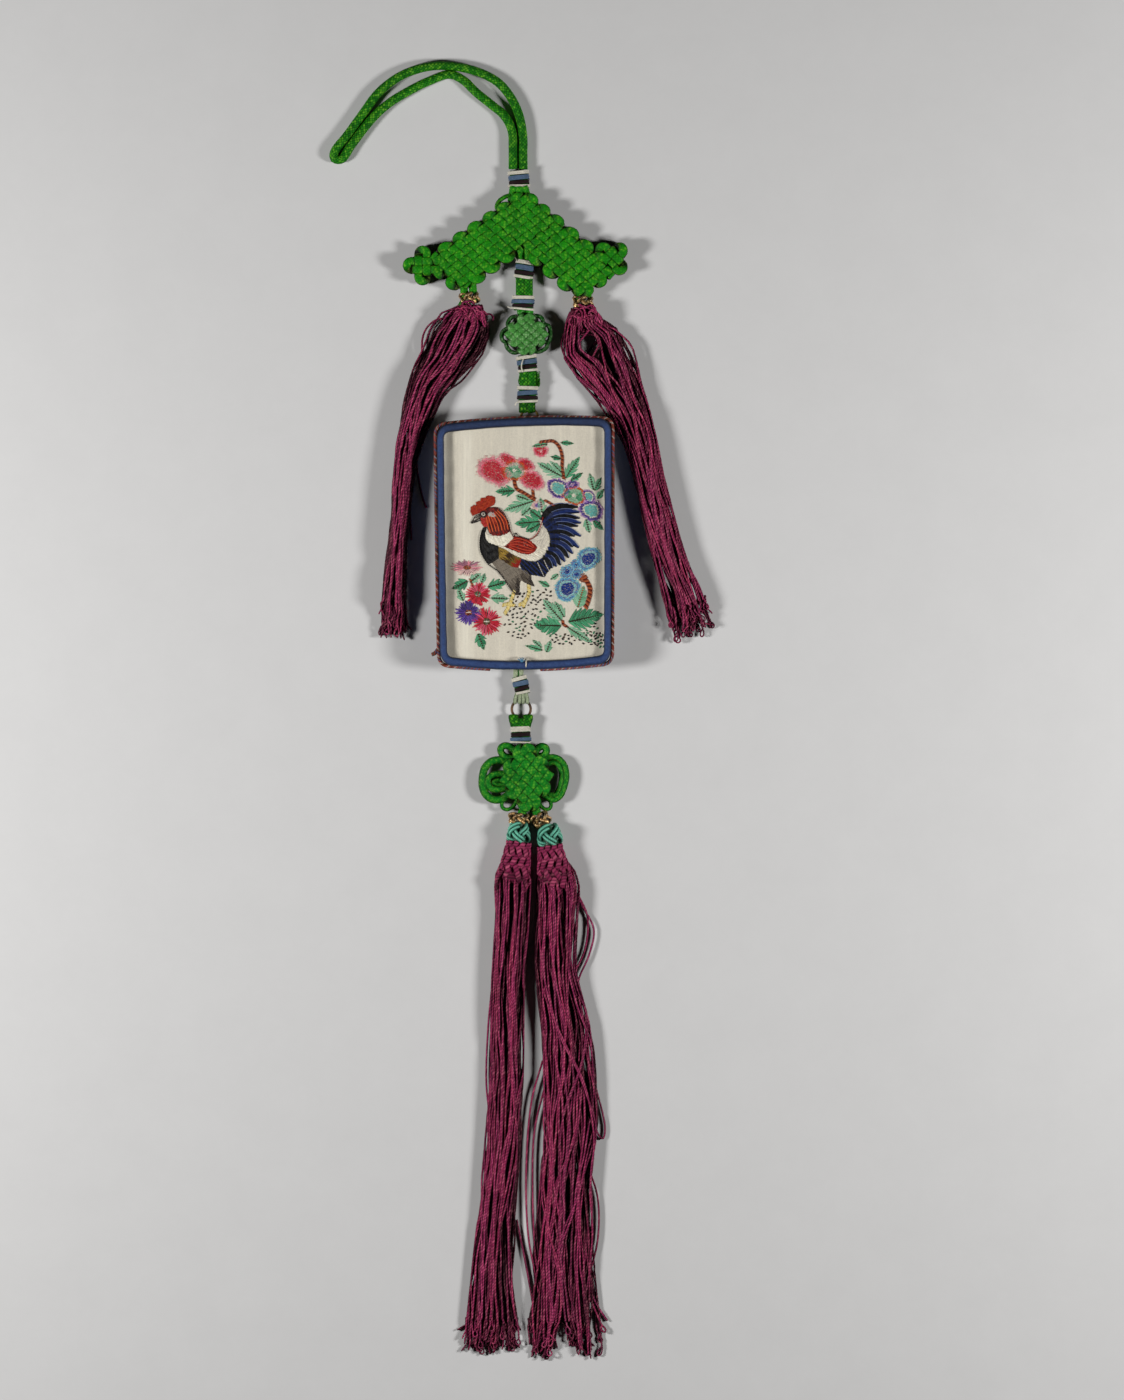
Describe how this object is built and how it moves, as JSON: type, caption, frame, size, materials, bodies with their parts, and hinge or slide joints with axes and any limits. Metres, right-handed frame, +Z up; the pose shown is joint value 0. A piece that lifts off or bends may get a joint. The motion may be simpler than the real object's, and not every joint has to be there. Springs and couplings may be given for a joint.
{
  "type": "mirror case on knotted cords with tassels",
  "caption": "Flat embroidered silk pocket for a hand mirror, hung from knotted green cords by a loop, with burgundy tassels at its sides and lower end.",
  "frame": {"origin": "middle of the case's flat back, on the surface it lies on", "axes": "+Z up out of the embroidered front, +Y along the object towards its hanging loop, +X to the right as seen from the front"},
  "size_m": [0.1285, 0.4385, 0.0123],
  "materials": {
    "green_cord": "braided silk cord, bright green, soft sheen",
    "pale_cord": "braided silk cord, faded grey-green",
    "binding_thread": "wound silk thread in white, steel blue and dark brown stripes",
    "burgundy_silk": "twisted silk thread, burgundy",
    "gilt_thread": "gilt thread wound on a core",
    "teal_cord": "smooth silk cord, teal",
    "brass_wire": "worn brass wire",
    "bronze_wire": "dark tarnished wire",
    "satin": "cream silk satin with coloured silk embroidery",
    "blue_silk": "blue silk ribbon, rolled",
    "twisted_cord": "twisted cord of many colours"
  },
  "bodies": {
    "root": {"hanging_loop": "green_cord", "binding_1": "binding_thread", "binding_2": "binding_thread", "binding_3": "binding_thread", "binding_4": "binding_thread", "binding_5": "binding_thread", "binding_6": "binding_thread", "binding_7": "binding_thread", "neck_cord": "green_cord", "frayed_cord": "green_cord", "tab_cord": "pale_cord", "top_loop": "green_cord", "pale_loop": "pale_cord", "green_loop": "green_cord", "top_ring": "brass_wire", "bottom_ring": "bronze_wire", "roof_knot": "green_cord", "small_knot": "green_cord", "lower_knot": "green_cord", "collar_left": "gilt_thread", "collar_right": "gilt_thread", "collar_lower_left": "gilt_thread", "collar_lower_right": "gilt_thread", "teal_knot_left": "teal_cord", "teal_knot_right": "teal_cord", "back_panel": "satin", "gusset": "blue_silk", "front_panel": "satin", "piping": "blue_silk", "edge_cord": "twisted_cord", "tassel_left": "burgundy_silk", "tassel_right": "burgundy_silk", "tassel_lower_left": "burgundy_silk", "tassel_lower_right": "burgundy_silk"}
  },
  "joints": []
}
